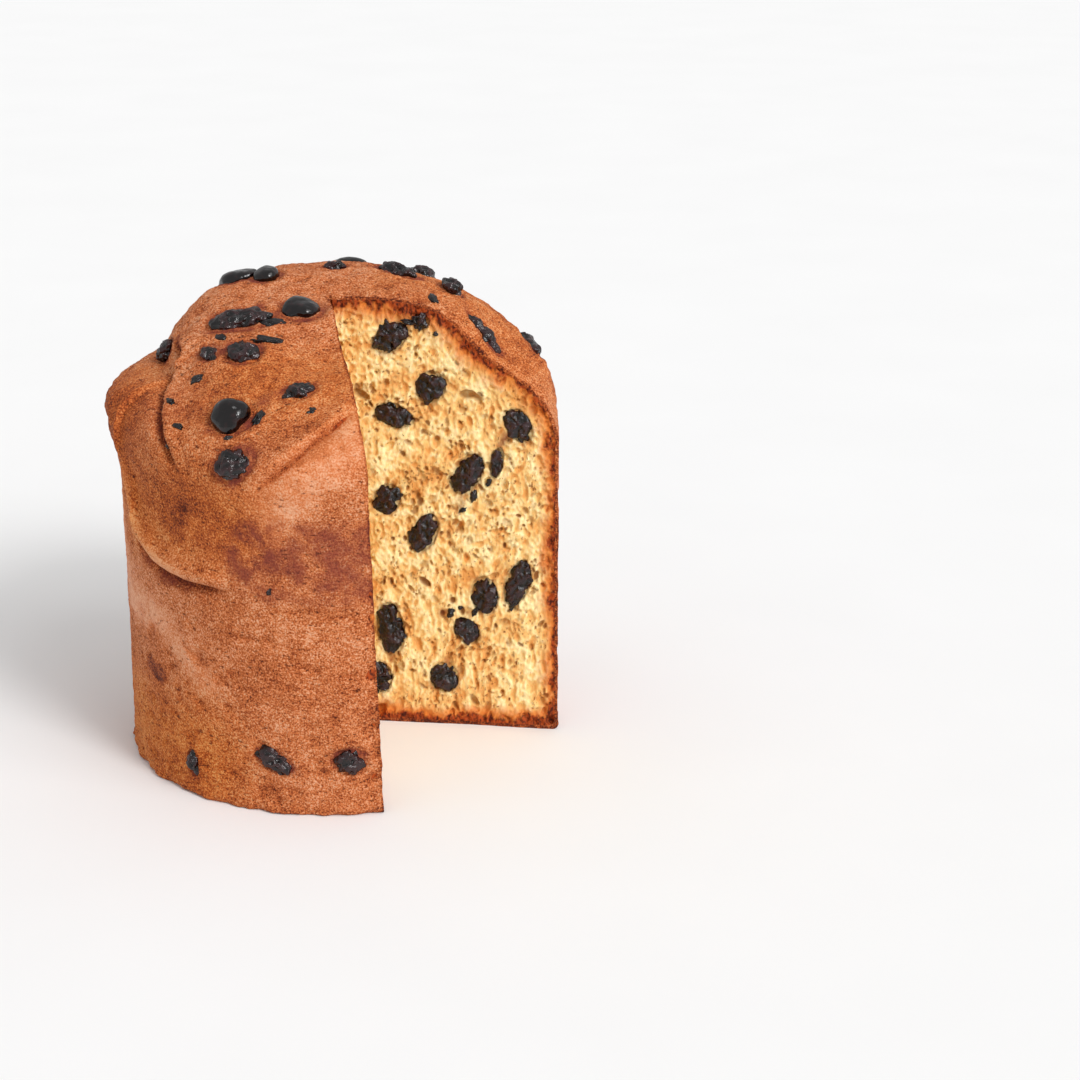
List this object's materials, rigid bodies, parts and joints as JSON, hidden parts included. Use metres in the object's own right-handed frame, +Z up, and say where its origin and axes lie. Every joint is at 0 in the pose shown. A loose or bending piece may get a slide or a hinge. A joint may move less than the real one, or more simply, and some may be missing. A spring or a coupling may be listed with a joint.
{
  "type": "panettone",
  "caption": "Tall domed loaf of sweet yeast bread with a wedge cut out, showing a soft open crumb full of dark berries inside a browned crust.",
  "frame": {"origin": "middle of the bounding box at the base, where the loaf stands", "axes": "+Z up through the dome; the cut opens towards +X and -Y, its back face looks towards -Y and its front face towards +X"},
  "size_m": [0.1576, 0.1584, 0.1677],
  "materials": {
    "crust": "baked bread: matte orange-brown crust with fine pin pores, pale yellow open crumb on the cut faces",
    "berry": "baked dark berry: wrinkled, nearly black skin with a moist gloss"
  },
  "bodies": {
    "root": {"bread": "crust", "berry_back_01": "berry", "berry_back_02": "berry", "berry_back_03": "berry", "berry_back_04": "berry", "berry_back_05": "berry", "berry_back_06": "berry", "berry_back_07": "berry", "berry_back_08": "berry", "berry_back_09": "berry", "berry_back_10": "berry", "berry_back_11": "berry", "berry_back_12": "berry", "berry_back_13": "berry", "berry_back_14": "berry", "berry_back_15": "berry", "berry_crust_01": "berry", "berry_crust_02": "berry", "berry_crust_03": "berry", "berry_crust_04": "berry", "berry_crust_05": "berry", "berry_crust_06": "berry", "berry_crust_07": "berry", "berry_crust_08": "berry", "berry_crust_09": "berry", "berry_crust_10": "berry", "berry_crust_11": "berry", "berry_crust_12": "berry", "berry_crust_13": "berry", "berry_crust_14": "berry", "berry_crust_15": "berry", "berry_crust_16": "berry", "berry_crust_17": "berry", "berry_front_01": "berry", "berry_front_02": "berry", "berry_front_03": "berry", "berry_front_04": "berry", "berry_front_05": "berry", "berry_front_06": "berry", "berry_front_07": "berry", "berry_front_08": "berry", "berry_front_09": "berry", "berry_front_10": "berry", "berry_front_11": "berry", "berry_crust_18": "berry", "berry_crust_19": "berry", "berry_crust_20": "berry", "berry_crust_21": "berry", "berry_crust_22": "berry", "berry_crust_23": "berry", "berry_crust_24": "berry", "berry_crust_25": "berry", "berry_crust_26": "berry", "berry_crust_27": "berry"}
  },
  "joints": []
}
